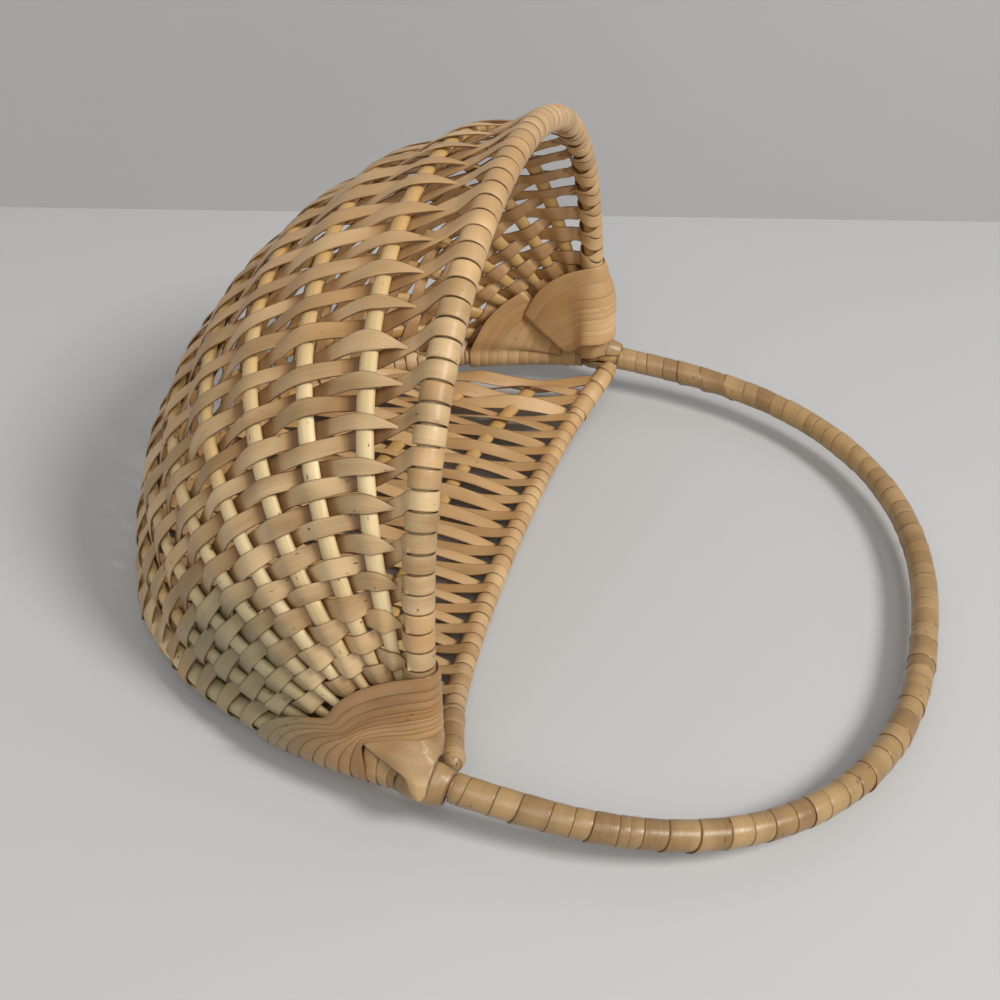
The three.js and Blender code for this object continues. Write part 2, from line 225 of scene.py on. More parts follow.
class HoopLine:
    """Centreline of the hanging hoop by length, from the middle of the bottom up the +X side."""

    SAMPLES = 2400
    STEP = 1.0

    def __init__(self):
        turn = np.linspace(0.0, 1.0, self.SAMPLES + 1)
        angle = 2 * math.pi * turn - math.pi / 2
        c, s = np.cos(angle), np.sin(angle)
        x = HOOP_HALF_WIDTH * np.sign(c) * np.abs(c) ** HOOP_ROUND_X
        rise = np.sign(s) * np.abs(s) ** HOOP_ROUND_Y
        y = HOOP_WAIST + rise * np.where(rise > 0, HANDLE_REACH - HOOP_WAIST, BOTTOM_REACH + HOOP_WAIST)
        z = np.where(y > 0, lerp(EAR_LIFT, HANDLE_LIFT, y / HANDLE_REACH),
                     lerp(EAR_LIFT, BACK_LIFT, -y / BOTTOM_REACH))
        self.points = np.stack((x, y, z), -1)
        self.lengths = lengths_along(self.points)
        self.total = float(self.lengths[-1])

    def at(self, length):
        return np.stack([np.interp(length, self.lengths, self.points[:, i]) for i in range(3)], -1)

    def length_at(self, y):
        half = self.SAMPLES // 2
        return float(np.interp(y, self.points[:half, 1], self.lengths[:half]))

    def tangent(self, length):
        ahead = self.at(np.minimum(length + self.STEP, self.total))
        return unit(ahead - self.at(np.maximum(length - self.STEP, 0.0)))

    def around(self, length, angle, radius):
        """Points round the rod: an angle of 0 is outward, and a quarter turn is to the front."""
        tangent = self.tangent(length)
        front = unit(np.array((0.0, 0.0, 1.0)) - tangent * tangent[..., 2:3])
        outward = np.cross(tangent, front)
        radial = outward * np.cos(angle)[..., None] + front * np.sin(angle)[..., None]
        return self.at(length) + radial * np.asarray(radius)[..., None]


hoop = HoopLine()


# Meshes

# Places of the points across a strip and across a broad sheet, in half widths
COLUMNS = np.array((-1.0, -0.86, -0.4, 0.4, 0.86, 1.0))
SHEET_COLUMNS = np.concatenate((COLUMNS[:2], np.linspace(-0.7, 0.7, 8), COLUMNS[-2:]))
# Share of the thickness that is lost at the edge, and how suddenly
EDGE_THIN, EDGE_POWER = 0.45, 6
# Share of a sheet's painted shade along its middle
SHADE_MIDDLE = 0.75
ROD_SIDES = 12
ROD_UP = (0.0, 0.37, 0.93)


def add_object(name, data):
    made = bpy.data.objects.new(name, data)
    bpy.context.scene.collection.objects.link(made)
    return made


def lay_of(centre, offset, tone):
    """Each point's place along and across its strip, in metres, with the strip's own tone."""
    length = np.broadcast_to(lengths_along(centre)[:, None], offset.shape)
    return np.stack((length * MM, offset * MM, np.full(offset.shape, tone)), -1).reshape(-1, 3)


def slab_faces(rows, columns):
    """Closed slab between an upper and a lower grid of points."""
    grid = np.arange(rows * columns).reshape(rows, columns)
    under = grid + rows * columns

    def quads(a, b, c, d):
        return np.stack((a.ravel(), b.ravel(), c.ravel(), d.ravel()), -1)

    return np.concatenate((
        quads(grid[:-1, :-1], grid[1:, :-1], grid[1:, 1:], grid[:-1, 1:]),
        quads(under[:-1, :-1], under[:-1, 1:], under[1:, 1:], under[1:, :-1]),
        quads(grid[:-1, 0], under[:-1, 0], under[1:, 0], grid[1:, 0]),
        quads(grid[:-1, -1], grid[1:, -1], under[1:, -1], under[:-1, -1]),
        quads(grid[0, :-1], grid[0, 1:], under[0, 1:], under[0, :-1]),
        quads(grid[-1, :-1], under[-1, :-1], under[-1, 1:], grid[-1, 1:]),
    ))


def rod_faces(rings, sides):
    """Closed tube through rings of points, with both ends filled."""
    faces = []
    for i in range(rings - 1):
        for j in range(sides):
            a, b = i * sides + j, i * sides + (j + 1) % sides
            faces.append((a, b, b + sides, a + sides))
    last = (rings - 1) * sides
    for j in range(1, sides - 1, 2):
        faces.append((0, (j + 2) % sides, j + 1, j))
        faces.append((last, last + j, last + j + 1, last + (j + 2) % sides))
    return np.array(faces)


class Build:
    """One visible piece, which may be made of several strips or rods.

    Each point has its lay, its edge, which is how near it is to the strip's edge, and its painted shade,
    which is how far it lies under the rest of the weave, where the material paints it darker as shade.
    """

    def __init__(self):
        self.points, self.lay, self.edge, self.painted_shade = [], [], [], []
        self.faces, self.count = [], 0

    def add(self, points, faces, lay, edge, painted_shade):
        self.faces += (faces + self.count).tolist()
        self.points.append(points)
        self.lay.append(lay)
        self.edge.append(edge)
        self.painted_shade.append(painted_shade)
        self.count += len(points)

    def slab(self, columns, middle, normal, bow, lay, lined, painted_shade):
        """Slab about rows of middle points, one for each column, bowed along each row's normal."""
        rows = len(middle)
        level = STRIP_THICKNESS / 2 * (1 - EDGE_THIN * np.abs(columns) ** EDGE_POWER)
        points = np.concatenate([(middle + normal[:, None] * (bow + sign * level)[:, None]).reshape(-1, 3)
                                 for sign in (1, -1)])
        edge = np.tile(np.abs(columns), 2 * rows) * lined
        painted_shade = np.tile(np.broadcast_to(painted_shade, middle.shape[:2]).ravel(), 2)
        self.add(points, slab_faces(rows, len(columns)), np.concatenate((lay, lay)), edge, painted_shade)

    def strip(self, path, tone, cup=0.0):
        """Flat strip along a path; cup bends it across."""
        tangent = unit(np.gradient(path.centre, axis=0))
        across = unit(path.guide - dot(path.guide, tangent) * tangent)
        normal = np.cross(tangent, across)
        c, s = np.cos(path.roll)[:, None], np.sin(path.roll)[:, None]
        across, normal = across * c + normal * s, normal * c - across * s
        offset = path.half[:, None] * COLUMNS
        middle = path.centre[:, None] + across[:, None] * offset[..., None]
        self.slab(COLUMNS, middle, normal, cup * COLUMNS ** 2, lay_of(path.centre, offset, tone), 1.0,
                  path.painted_shade[:, None])

    def sheet(self, first, second, about, crown, tone, lined=1.0, shade=0.0):
        """Slab between two edge lines of matching points, bowed by crown away from a place it goes about."""
        columns = SHEET_COLUMNS
        centre, across = (first + second) / 2, (second - first) / 2
        normal = unit(np.cross(np.gradient(centre, axis=0), across))
        normal = normal * np.sign(np.sum(normal * (centre - about)))
        middle = centre[:, None] + across[:, None] * columns[:, None]
        offset = np.linalg.norm(across, axis=-1)[:, None] * columns
        # shade paints the sheet darker as shade, most at its edges, where strips tuck under each other
        self.slab(columns, middle, normal, crown * (1 - columns ** 2), lay_of(centre, offset, tone), lined,
                  shade * lerp(SHADE_MIDDLE, 1.0, columns ** 2))

    def rod(self, centre, radius, tone, flat=1.0, up=ROD_UP):
        """Rod with a radius for each of its points, flattened to this share in the up direction."""
        tangent = unit(np.gradient(centre, axis=0))
        side = unit(np.cross(tangent, up))
        up = np.cross(side, tangent) * flat
        angle = np.linspace(0.0, 2 * math.pi, ROD_SIDES, endpoint=False)
        ring = side[:, None] * np.cos(angle)[:, None] + up[:, None] * np.sin(angle)[:, None]
        points = (centre[:, None] + ring * radius[..., None]).reshape(-1, 3)
        offset = np.broadcast_to(np.cos(angle) * ROD_RADIUS, radius.shape)
        plain = np.zeros(len(points))
        self.add(points, rod_faces(len(centre), ROD_SIDES), lay_of(centre, offset, tone), plain, plain)

    def finish(self, name, node, material):
        """Make the piece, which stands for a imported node."""
        columns = (self.points, self.lay, self.edge, self.painted_shade)
        points, lay, edge, painted_shade = (np.concatenate(parts) for parts in columns)
        mesh = bpy.data.meshes.new(name)
        mesh.from_pydata(place(points).tolist(), [], self.faces)
        mesh.validate()
        mesh.shade_smooth()
        for key, kind, field, values in (("lay", "FLOAT_VECTOR", "vector", lay),
                                         ("edge", "FLOAT", "value", edge),
                                         ("painted_shade", "FLOAT", "value", painted_shade)):
            mesh.attributes.new(key, kind, "POINT").data.foreach_set(field, np.float32(values).ravel())
        mesh.materials.append(material)
        piece = add_object(name, mesh)
        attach(piece, "root")
        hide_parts(node)


# Paths of strips

JOIN_SAMPLES, JOIN_PULL = 9, 0.75
ARC_STEP = math.radians(15)


class Path:
    """Line of points with, for each, the direction across the strip, its half width, roll and painted shade.
    """

    def __init__(self, centre, guide, half, roll=0.0, painted_shade=0.0):
        self.centre = centre
        self.guide = np.broadcast_to(guide, centre.shape)
        self.half, self.roll, self.painted_shade = (np.broadcast_to(value, len(centre))
                                              for value in (half, roll, painted_shade))

    def reversed(self):
        return Path(self.centre[::-1], self.guide[::-1], self.half[::-1], -self.roll[::-1],
                    self.painted_shade[::-1])

    def on_side(self, side):
        """The path as it is for the +X side, 1, or its mirror image for the other, -1."""
        mirror = np.array((side, 1, 1))
        return Path(self.centre * mirror, self.guide * mirror, self.half, self.roll * side, self.painted_shade)


def joined(*paths, samples=JOIN_SAMPLES):
    """One path through several, with a smooth bend where each leads into the next."""
    parts = [paths[0]]
    t = np.linspace(0.0, 1.0, samples + 2)[1:-1]
    u = t[:, None]
    for before, after in zip(paths, paths[1:]):
        start, end = before.centre[-1], after.centre[0]
        reach = np.linalg.norm(end - start) * JOIN_PULL
        leave = unit(start - before.centre[-2]) * reach
        arrive = unit(after.centre[1] - end) * reach
        centre = ((2 * u ** 3 - 3 * u ** 2 + 1) * start + (u ** 3 - 2 * u ** 2 + u) * leave
                  + (3 * u ** 2 - 2 * u ** 3) * end + (u ** 3 - u ** 2) * arrive)
        parts.append(Path(centre, lerp(before.guide[-1], after.guide[0], u),
                          lerp(before.half[-1], after.half[0], ease(t)),
                          lerp(before.roll[-1], after.roll[0], t),
                          lerp(before.painted_shade[-1], after.painted_shade[0], t)))
        parts.append(after)
    return Path(*(np.concatenate([getattr(part, name) for part in parts])
                  for name in ("centre", "guide", "half", "roll", "painted_shade")))


def angles_between(start, end):
    """Angles in small steps between two that are given in degrees."""
    start, end = math.radians(start), math.radians(end)
    return np.linspace(start, end, int(abs(end - start) / ARC_STEP) + 1)


# Stops of a row: the back ribs come before the hoop, and the belly ribs between the hoop and the rim
HOOP_STOP = BACK_RIBS + 1
RIM_STOP = HOOP_STOP + RIBS + 1
SAMPLES_PER_RIB = 8
# How a row turns at the hoop, bends at each rib, and swaps sides and leans past the last one
CORNER = 0.6
STRAIGHT = 0.93
PAST_LAST_RIB = 0.62
SWAP_SPEED = 0.95
LEAN, LEAN_FROM = 0.32, 0.4
# Its width: between ribs and on them, outside the hoop, far from the ears, at a pointed end, and on the back,
# which is loose near the +X ear
NARROW, BROAD = 1.0, 1.14
HOOP_COVER = 0.62
SPARE, SPARE_REACH = 0.88, (45.0, 95.0)
POINTED = 0.1
LOOSE_WEAVERS, LOOSE_WIDTH = 10.0, 0.45
# Its seeded unevenness, and how far out it still gets some painted shade for passing under the weave
ROW_WANDER, ROW_SWELL, ROW_ROLL = 0.05, 0.1, 0.07
BACK_TWIST = 0.4
SHADED_FROM = 0.35


def zigzag(q):
    """Wave of a strip over and under the ribs: bent at each rib and straight between them."""
    return np.arcsin(STRAIGHT * np.cos(math.pi * q)) / math.asin(STRAIGHT)


def row(count, side, first):
    """Woven part of a row from its first stop to past the last rib.

    There it swaps sides early, so that it meets the rim on the side where it wraps it.
    """
    last = RIM_STOP - 1
    end = last + PAST_LAST_RIB
    q = np.linspace(first, end, round((end - first) * SAMPLES_PER_RIB) + 1)
    wander, swell, tilt = (drift(RIM_STOP + 1, size) for size in (ROW_WANDER, ROW_SWELL, ROW_ROLL))
    in_front = q >= HOOP_STOP
    k = np.where(in_front, 1 - (q - HOOP_STOP) / (RIBS + 1), 1.0)
    w = np.where(in_front, 0.0, 1 - q / HOOP_STOP)
    lean = side * LEAN * np.clip((q - last + LEAN_FROM) / (PAST_LAST_RIB + LEAN_FROM), 0.0, 1.0) ** 2
    s = lane(count + lean + wander(q), k)
    front, rear = Spot(belly, k, s), Spot(back, w, s)
    turn = ease((q - HOOP_STOP + CORNER) / (2 * CORNER))
    out = unit(lerp(rear.out, front.out, turn[:, None]))
    along = unit(lerp(rear.along, front.along, turn[:, None]))
    at = np.where(in_front[:, None], front.at, rear.at)
    speed = np.where(in_front, front.along_speed, rear.along_speed)

    rib = rib_radius_at(s) * RIB_FLAT + STRIP_THICKNESS / 2 + LIE
    rod = ROD_RADIUS + STRIP_THICKNESS / 2 + LIE
    near_hoop = np.clip(1 - np.abs(q - HOOP_STOP), 0.0, 1.0)
    sign = side if last % 2 else -side
    wave = sign * zigzag(np.where(q > last, last + SWAP_SPEED * (q - last), q))
    lift = lerp(rib, rod, near_hoop) * wave

    half = half_row(k, speed) * lerp(NARROW, BROAD, np.abs(wave)) * (1 + swell(q))
    half = half * (1 + HOOP_COVER * ease(2 * near_hoop - 1) * np.clip(wave, 0.0, 1.0))
    near, far = SPARE_REACH
    half = half * lerp(1.0, SPARE, ease((BOTTOM_REACH * np.sin(s) - near) / (far - near)))
    if side < 0:
        half = half * lerp(1.0, POINTED, ease((q - last) / PAST_LAST_RIB))
    on_back = ease(1 - (q - 1) / (HOOP_STOP - 1))
    loose = lerp(LOOSE_WIDTH, 1.0, ease((count - SHORT_WEAVERS) / LOOSE_WEAVERS))
    half = half * lerp(1.0, loose, on_back)
    twist = rng.normal(0.0, BACK_TWIST) * on_back
    # Painted shade, darker and warmer where the row passes under a rib, on the front of the basket only
    painted_shade = ease(SHADED_FROM - wave) * turn
    return Path(at + out * lift[:, None], along, half, tilt(q) + twist, painted_shade)


# A weaver's two rows, as shares of its room: the one that goes up to the rim and the one that comes back
UP_ROW, DOWN_ROW = 0.25, 0.75
BAND_GAP = 0.3
# Arcs of the wraps, in degrees
RIM_WRAP = (115, -485)
BAR_WRAP = (215, -122)
HOOP_TAIL = {1: (-200, 40), -1: (0, -175)}
# Turns after which a rim wrap crosses to the other band and dives into the basket, and how many each takes
CROSS_FROM, CROSS_TURNS = 0.35, 0.5
DIVE_FROM, DIVE_TURNS, DIVE_TAPER = 1.35, 0.2, 0.2


def arc(spot, radius, away, angles, half):
    """Strip round an edge rod: 0 is past the edge, a quarter turn out of the basket, minus a quarter into it.

    away is 1 where the surface ends with its k at this edge, and -1 where it starts there.
    """
    radial = spot.down * away * np.cos(angles)[:, None] + spot.out * np.sin(angles)[:, None]
    return Path(spot.at + radial * radius, spot.along, half)


def rim_wrap(index):
    """Nearly two turns round the front rim: the arriving strip takes the band farther from the near ear."""
    angles = angles_between(*RIM_WRAP)
    turned = (math.pi / 2 - angles) / (2 * math.pi)
    share = lerp(DOWN_ROW, UP_ROW, ease((turned - CROSS_FROM) / CROSS_TURNS))
    spot = Spot(belly, np.zeros(len(angles)), lane(index + share, 0.0))
    taper = lerp(1.0, DIVE_TAPER, ease((turned - DIVE_FROM) / DIVE_TURNS))
    half = (half_row(0.0, spot.along_speed) - BAND_GAP / 2) * taper
    return arc(spot, WRAP_RADIUS, -1, angles, half)


def bar_wrap(count, side):
    """Tail of a row round the back bar, ending where the row leaves it."""
    angles = angles_between(*BAR_WRAP) * -side
    spot = Spot(back, np.ones(len(angles)), np.full(len(angles), lane(count, 1.0)))
    half = half_row(1.0, spot.along_speed) - BAND_GAP / 2
    return arc(spot, BAR_WRAP_RADIUS, 1, angles, half)


def round_hoop(s, start, end, radius, half, roll=0.0):
    """Strip round the bottom of the hoop: 0 degrees points out of the corner, 90 up towards the rim."""
    front, rear = Spot(belly, 1.0, s), Spot(back, 0.0, s)
    corner = unit(front.out + rear.out)
    up = -unit(front.down - dot(front.down, corner) * corner)
    angles = angles_between(start, end)
    radial = corner * np.cos(angles)[:, None] + up * np.sin(angles)[:, None]
    return Path(front.at + radial * radius, front.along, half, roll)


def hoop_wrap(count, side):
    """Tail of a short row round the bottom of the hoop, ending where the row leaves it."""
    s = lane(count, 1.0)
    half = half_row(1.0, Spot(belly, 1.0, s).along_speed) - BAND_GAP / 2
    return round_hoop(s, *HOOP_TAIL[side], HOOP_TAIL_RADIUS, half)


def weaver_path(index):
    """One strip: up to the rim, round it and back down, with a tail at each end."""
    short = index < SHORT_WEAVERS or index >= WEAVERS - SHORT_WEAVERS
    rows = []
    for count, side in ((index + UP_ROW, 1), (index + DOWN_ROW, -1)):
        if short:
            hoop_side = side if RIBS % 2 else -side
            rows.append(joined(hoop_wrap(count, hoop_side), row(count, side, HOOP_STOP + 1)))
        else:
            bar_side = -side if (RIBS + BACK_RIBS) % 2 else side
            rows.append(joined(bar_wrap(count, bar_side), row(count, side, 1)))
    return joined(rows[0], rim_wrap(index), rows[1].reversed())


# Materials


class Nodes:
    """Short way to write a material's nodes."""

    def __init__(self, name):
        self.material = bpy.data.materials.new(name)
        self.material.use_nodes = True
        self.tree = self.material.node_tree
        self.shader = self.tree.nodes["Principled BSDF"]

    def add(self, kind, inputs=(), **settings):
        node = self.tree.nodes.new(kind)
        for key, value in settings.items():
            setattr(node, key, value)
        for key, value in dict(inputs).items():
            if isinstance(value, bpy.types.NodeSocket):
                self.tree.links.new(value, node.inputs[key])
            else:
                node.inputs[key].default_value = value
        return node

    def attribute(self, name, output):
        return self.add("ShaderNodeAttribute", attribute_name=name).outputs[output]

    def math(self, operation, a, b, c=0.0, clamp=False):
        node = self.add("ShaderNodeMath", {0: a, 1: b, 2: c}, operation=operation, use_clamp=clamp)
        return node.outputs[0]

    def noise(self, vector, detail, roughness=0.5, scale=1.0):
        return self.add("ShaderNodeTexNoise", {"Vector": vector, "Scale": scale, "Detail": detail,
                                               "Roughness": roughness}).outputs["Fac"]

    def grain(self, vector, scales, detail, roughness=0.5):
        """Noise with a scale of its own along each axis."""
        scaled = self.add("ShaderNodeVectorMath", {0: vector, 1: scales}, operation="MULTIPLY")
        return self.noise(scaled.outputs[0], detail, roughness)

    def ramp(self, value, span, start=0.0, end=1.0):
        """Smooth change from start to end while the value goes through a span."""
        return self.add("ShaderNodeMapRange", {"Value": value, "From Min": span[0], "From Max": span[1],
                                               "To Min": start, "To Max": end},
                        interpolation_type="SMOOTHSTEP").outputs[0]

    def mix(self, share, a, b):
        return self.add("ShaderNodeMix", {0: share, 6: a, 7: b}, data_type="RGBA").outputs[2]

    def link(self, value, name):
        self.tree.links.new(value, self.shader.inputs[name])

    def bump(self, height, distance):
        node = self.add("ShaderNodeBump", {"Height": height, "Distance": distance, "Strength": 1.0})
        self.link(node.outputs[0], "Normal")


def linear(red, green, blue):
    """Screen colour, 0 to 255, as the linear colour that a shader takes."""
    def channel(value):
        value /= 255
        return value / 12.92 if value <= 0.04045 else ((value + 0.055) / 1.055) ** 2.4
    return (channel(red), channel(green), channel(blue), 1.0)


# Scales of the noises along a strip and across it, per metre, and from strip to strip
FIBRE_ALONG, FIBRE_EACH = 45.0, 9.0
TONE_GRAIN = (38.0, 90.0, 31.0)
SLOW_GRAIN = (9.0, 0.0, 17.0)
WARM_GRAIN = (21.0, 40.0, 53.0)
SPECK_GRAIN = (420.0, 900.0, 3.0)
EDGE_SHADE_GRAIN = (70.0, 0.0, 5.0)
PIECE_SHIFT = 7.0
# Tone, fibres and gloss
TONE_SPAN = (0.34, 0.66)
FIBRE_SHARE = 0.5
WARM_SPAN, WARM_SHARE = (0.5, 0.75), 0.6
ROUGH_SPREAD = 0.16
SPECULAR = 0.5
# Painted shade: the colour under the rest of the weave, and in its deepest places, where shade falls
SHADE_UNDER_WEAVE, SHADE_UNDER_WEAVE_SHARE = linear(168, 114, 60), 0.58
DEEPEST_SHADE, DEEPEST_SHADE_SPAN, DEEPEST_SHADE_SHARE = linear(88, 57, 30), (0.45, 1.0), 0.65
# Specks, and painted shade as dark lines along the strip edges, in the speck colour, patchy along each strip
SPECK_AND_EDGE_SHADE, SPECK_SOFT, SPECK_SHARE = linear(84, 54, 28), 0.06, 0.75
EDGE_SHADE_SPAN, EDGE_SHADE_SHARE = (0.87, 1.0), 0.85
EDGE_SHADE_PATCH_SPAN = (0.3, 0.6)
# Grey-green patch low on the near side, in metres, and the places in X where the far colour is full and gone
GREY_GREEN_PATCH, GREY_GREEN_PATCH_SHARE = linear(128, 126, 100), 0.62
GREY_GREEN_PATCH_AT, GREY_GREEN_PATCH_FROM, GREY_GREEN_PATCH_TO = (0.0993, -0.0605, 0.0225), 0.014, 0.036
GREY_GREEN_PATCH_GRAIN, GREY_GREEN_PATCH_RAGGED = 90.0, 0.016
FAR_SPAN = (0.03, 0.088)


def plant_material(name, dark, light, warm, far, far_share, roughness, fibre, fibre_depth, specks):
    """Dried plant surface: fibres along it, slow changes of tone, specks, painted shade along edges and under
    the weave, and a grey-green patch.

    Away from the +X ear it turns to the far colour by this share; on the strips that is painted light, a
    warmer and lighter tint for light bounced inside the basket. fibre is the scale of the fibres across a
    strip, and specks the level of noise at which specks begin.
    """
    m = Nodes(name)
    each = m.add("ShaderNodeObjectInfo").outputs["Random"]
    shift = m.add("ShaderNodeCombineXYZ", {0: m.math("MULTIPLY", each, PIECE_SHIFT), 2: each}).outputs[0]
    lay = m.add("ShaderNodeVectorMath", {0: m.attribute("lay", "Vector"), 1: shift},
                operation="ADD").outputs[0]
    fibres = m.grain(lay, (FIBRE_ALONG, fibre, FIBRE_EACH), detail=3.0, roughness=0.6)
    tone = m.math("ADD", m.grain(lay, TONE_GRAIN, detail=2.0), m.grain(lay, SLOW_GRAIN, detail=1.0))
    tone = m.ramp(m.math("MULTIPLY", tone, 0.5), TONE_SPAN)
    streaks = m.math("MULTIPLY", m.math("SUBTRACT", fibres, 0.5), FIBRE_SHARE)
    colour = m.mix(m.math("ADD", tone, streaks, clamp=True), dark, light)
    warmth = m.ramp(m.grain(lay, WARM_GRAIN, detail=1.0), WARM_SPAN, end=WARM_SHARE)
    colour = m.mix(warmth, colour, warm)

    # Painted shade: warmer and darker where a strip passes under the weave or tucks under the next ear strip,
    # darkest where most covered
    painted_shade = m.attribute("painted_shade", "Fac")
    colour = m.mix(m.math("MULTIPLY", painted_shade, SHADE_UNDER_WEAVE_SHARE), colour, SHADE_UNDER_WEAVE)
    colour = m.mix(m.ramp(painted_shade, DEEPEST_SHADE_SPAN, end=DEEPEST_SHADE_SHARE), colour, DEEPEST_SHADE)
    spots = m.grain(lay, SPECK_GRAIN, detail=0.0)
    colour = m.mix(m.ramp(spots, (specks, specks + SPECK_SOFT), end=SPECK_SHARE), colour, SPECK_AND_EDGE_SHADE)

    where = m.add("ShaderNodeTexCoord").outputs["Object"]
    sideways = m.add("ShaderNodeSeparateXYZ", {0: where}).outputs[0]
    # Far colour; on the strips it is painted light, a warmer, lighter tint for light bounced inside the
    # basket
    colour = m.mix(m.ramp(sideways, FAR_SPAN, far_share, 0.0), colour, far)
    away = m.add("ShaderNodeVectorMath", {0: where, 1: GREY_GREEN_PATCH_AT}, operation="DISTANCE").outputs["Value"]
    ragged = m.math("MULTIPLY_ADD", m.noise(where, detail=2.0, scale=GREY_GREEN_PATCH_GRAIN), GREY_GREEN_PATCH_RAGGED, away)
    patch_span = (GREY_GREEN_PATCH_FROM + GREY_GREEN_PATCH_RAGGED / 2, GREY_GREEN_PATCH_TO + GREY_GREEN_PATCH_RAGGED / 2)
    colour = m.mix(m.ramp(ragged, patch_span, GREY_GREEN_PATCH_SHARE, 0.0), colour, GREY_GREEN_PATCH)

    # Painted shade: dark lines along strip edges where strips meet and overlap, in the speck colour, patchy
    # along each strip
    edge = m.ramp(m.attribute("edge", "Fac"), EDGE_SHADE_SPAN, end=EDGE_SHADE_SHARE)
    edge_shade_patches = m.ramp(m.grain(lay, EDGE_SHADE_GRAIN, detail=1.0), EDGE_SHADE_PATCH_SPAN)
    colour = m.mix(m.math("MULTIPLY", edge, edge_shade_patches), colour, SPECK_AND_EDGE_SHADE)
    m.link(colour, "Base Color")
    m.link(m.math("MULTIPLY_ADD", fibres, ROUGH_SPREAD, roughness - ROUGH_SPREAD / 2), "Roughness")
    m.shader.inputs["Specular IOR Level"].default_value = SPECULAR
    m.bump(fibres, fibre_depth)
    return m.material


# The strips' far colour is painted light: warmer and lighter for the light bounced inside the basket
STRIP_MATERIAL = plant_material(
    "flat_strip", dark=linear(148, 116, 75), light=linear(211, 181, 136), warm=linear(190, 144, 91),
    far=linear(218, 174, 120), far_share=0.4, roughness=0.38, fibre=2600.0, fibre_depth=0.00012, specks=0.79)
WRAP_MATERIAL = plant_material(
    "satin_wrap", dark=linear(128, 99, 61), light=linear(173, 143, 99), warm=linear(159, 120, 73),
    far=linear(173, 136, 89), far_share=0.15, roughness=0.32, fibre=3000.0, fibre_depth=0.00008, specks=0.79)
NEAR_LASH_MATERIAL = plant_material(
    "near_lashing", dark=linear(128, 99, 62), light=linear(184, 152, 108), warm=linear(166, 122, 74),
    far=linear(186, 146, 92), far_share=0.0, roughness=0.3, fibre=2800.0, fibre_depth=0.00012, specks=0.79)
ROD_MATERIAL = plant_material(
    "peeled_rod", dark=linear(198, 170, 120), light=linear(226, 204, 158), warm=linear(206, 166, 98),
    far=linear(192, 150, 86), far_share=0.8, roughness=0.42, fibre=1700.0, fibre_depth=0.00014, specks=0.77)


# Rods

# Unevenness as a share of the radius, and the rings from one draw of it to the next
UNEVEN, UNEVEN_STEP = 0.02, 6
HOOP_RINGS, RIM_RINGS, BAR_RINGS, RIB_RINGS = 300, 200, 90, 140
# Ends: the gap at the hoop's butt, the s where the rim ends, and the bar's half length as a share
HOOP_BUTT = 0.3
RIM_END = 0.012
BAR_END = 0.985


def make_rod(node, centre, radius, **shape):
    count = len(centre)
    draws = rng.normal(0.0, UNEVEN, (count // UNEVEN_STEP + 2, ROD_SIDES))
    uneven = 1 + between(draws, np.linspace(0, len(draws) - LAST_STEP, count))
    build = Build()
    build.rod(centre, np.broadcast_to(radius, count)[:, None] * uneven, rng.random(), **shape)
    build.finish(node + "_rod", node, ROD_MATERIAL)


def make_rib(node, surface, k, tip_reach):
    tip = s_at(tip_reach)
    s = np.linspace(tip, math.pi - tip, RIB_RINGS)
    spot = Spot(surface, np.full(len(s), k), s)
    make_rod(node, spot.at, rib_radius_at(s), flat=RIB_FLAT, up=spot.out)


make_rod("hanging_hoop", hoop.at(np.linspace(HOOP_BUTT, hoop.total - HOOP_BUTT, HOOP_RINGS)), ROD_RADIUS)
make_rod("front_rim", belly(0.0, np.linspace(RIM_END, math.pi - RIM_END, RIM_RINGS)), ROD_RADIUS)
make_rod("back_bar", bar_at(np.linspace(BAR_END, -BAR_END, BAR_RINGS)), BAR_RADIUS)
for i in range(1, RIBS + 1):
    make_rib(f"belly_rib_{i}", belly, i / (RIBS + 1), RIB_TIP_REACH)
for i in range(1, BACK_RIBS + 1):
    make_rib(f"back_rib_{i}", back, i / (BACK_RIBS + 1), BACK_RIB_TIP_REACH)


# Weavers

for index in range(WEAVERS):
    node = f"weaver_{index + 1:02d}"
    path = weaver_path(index)
    build = Build()
    build.strip(path, rng.random())
    build.finish(node + "_strip", node, STRIP_MATERIAL)


# Handle wrap: one unbroken strip wound on each half, each turn lapping the last

HANDLE_TURNS = 31
TURN_SAMPLES = 24
# How the turns vary in width, in shares of the mean, and in height
TURN_SPREAD, TURN_LEAST, TURN_MOST = 0.36, 0.4, 1.8
TURN_RISE = 0.07
HANDLE_LAP = 0.25
HANDLE_TILT = math.radians(1.4)
HANDLE_CUP = 0.03
LEAST_HALF = 0.3
# Share of the pitch that a turn makes in one step, and where round the handle it makes it
STEPPED, STEP_AT = 0.7, math.radians(-110)


